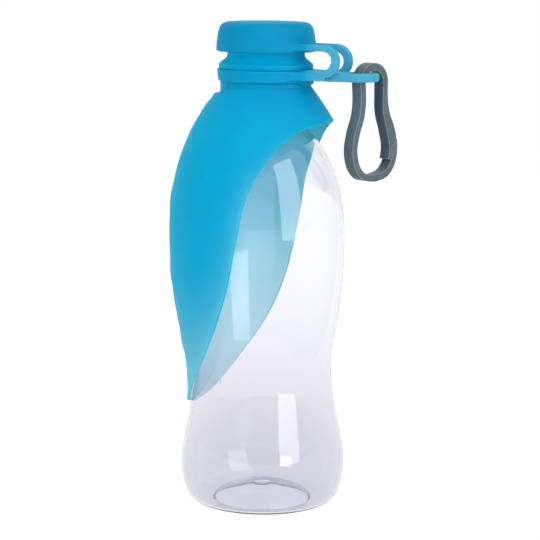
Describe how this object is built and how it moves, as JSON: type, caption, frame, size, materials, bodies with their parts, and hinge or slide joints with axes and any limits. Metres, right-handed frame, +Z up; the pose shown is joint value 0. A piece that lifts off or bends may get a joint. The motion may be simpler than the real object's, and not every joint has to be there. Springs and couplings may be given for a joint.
{
  "type": "dog travel water bottle",
  "caption": "Waisted clear travel bottle with a leaf-shaped soft sleeve that folds over as a drinking bowl, a push-on cap on looped straps and a hanging clip.",
  "frame": {"origin": "on the bottle's axis, in the plane of the ring that the base stands on", "axes": "+Z up along the bottle's axis, +X from the axis towards the tab and the clip, so the leaf's tip is on the -X side"},
  "size_m": [0.1062, 0.0906, 0.2299],
  "materials": {
    "clear_plastic": "clear, glossy, blow-moulded",
    "leaf_silicone": "matte, slightly translucent silicone",
    "tether_silicone": "matte, slightly translucent silicone",
    "cap_silicone": "matte silicone",
    "clip_plastic": "satin moulded plastic"
  },
  "bodies": {
    "bottle": {"bottle": "clear_plastic", "leaf_sleeve": "leaf_silicone", "tether_ring": "tether_silicone", "strap_front": "tether_silicone", "strap_back": "tether_silicone"},
    "cap": {"cap": "cap_silicone"},
    "clip": {"clip_frame": "clip_plastic"},
    "gate": {"clip_gate": "clip_plastic"}
  },
  "joints": [
    {"name": "cap_lift", "type": "slide", "parent": "bottle", "child": "cap", "axis": [0, 0, 1], "range_m": [0, 0.015], "deforming": ["strap_front", "strap_back"]},
    {"name": "clip_swing", "type": "hinge", "parent": "bottle", "child": "clip", "pos_m": [0.04913, 0.00615, 0.2029], "axis": [0.891, -0.454, 0], "range_deg": [-27, 107]},
    {"name": "gate_open", "type": "hinge", "parent": "clip", "child": "gate", "pos_m": [0.05182, 0.01143, 0.20126], "axis": [-0.891, 0.454, 0], "range_deg": [0, 20], "stiffness_Nm_per_rad": 0.4}
  ]
}
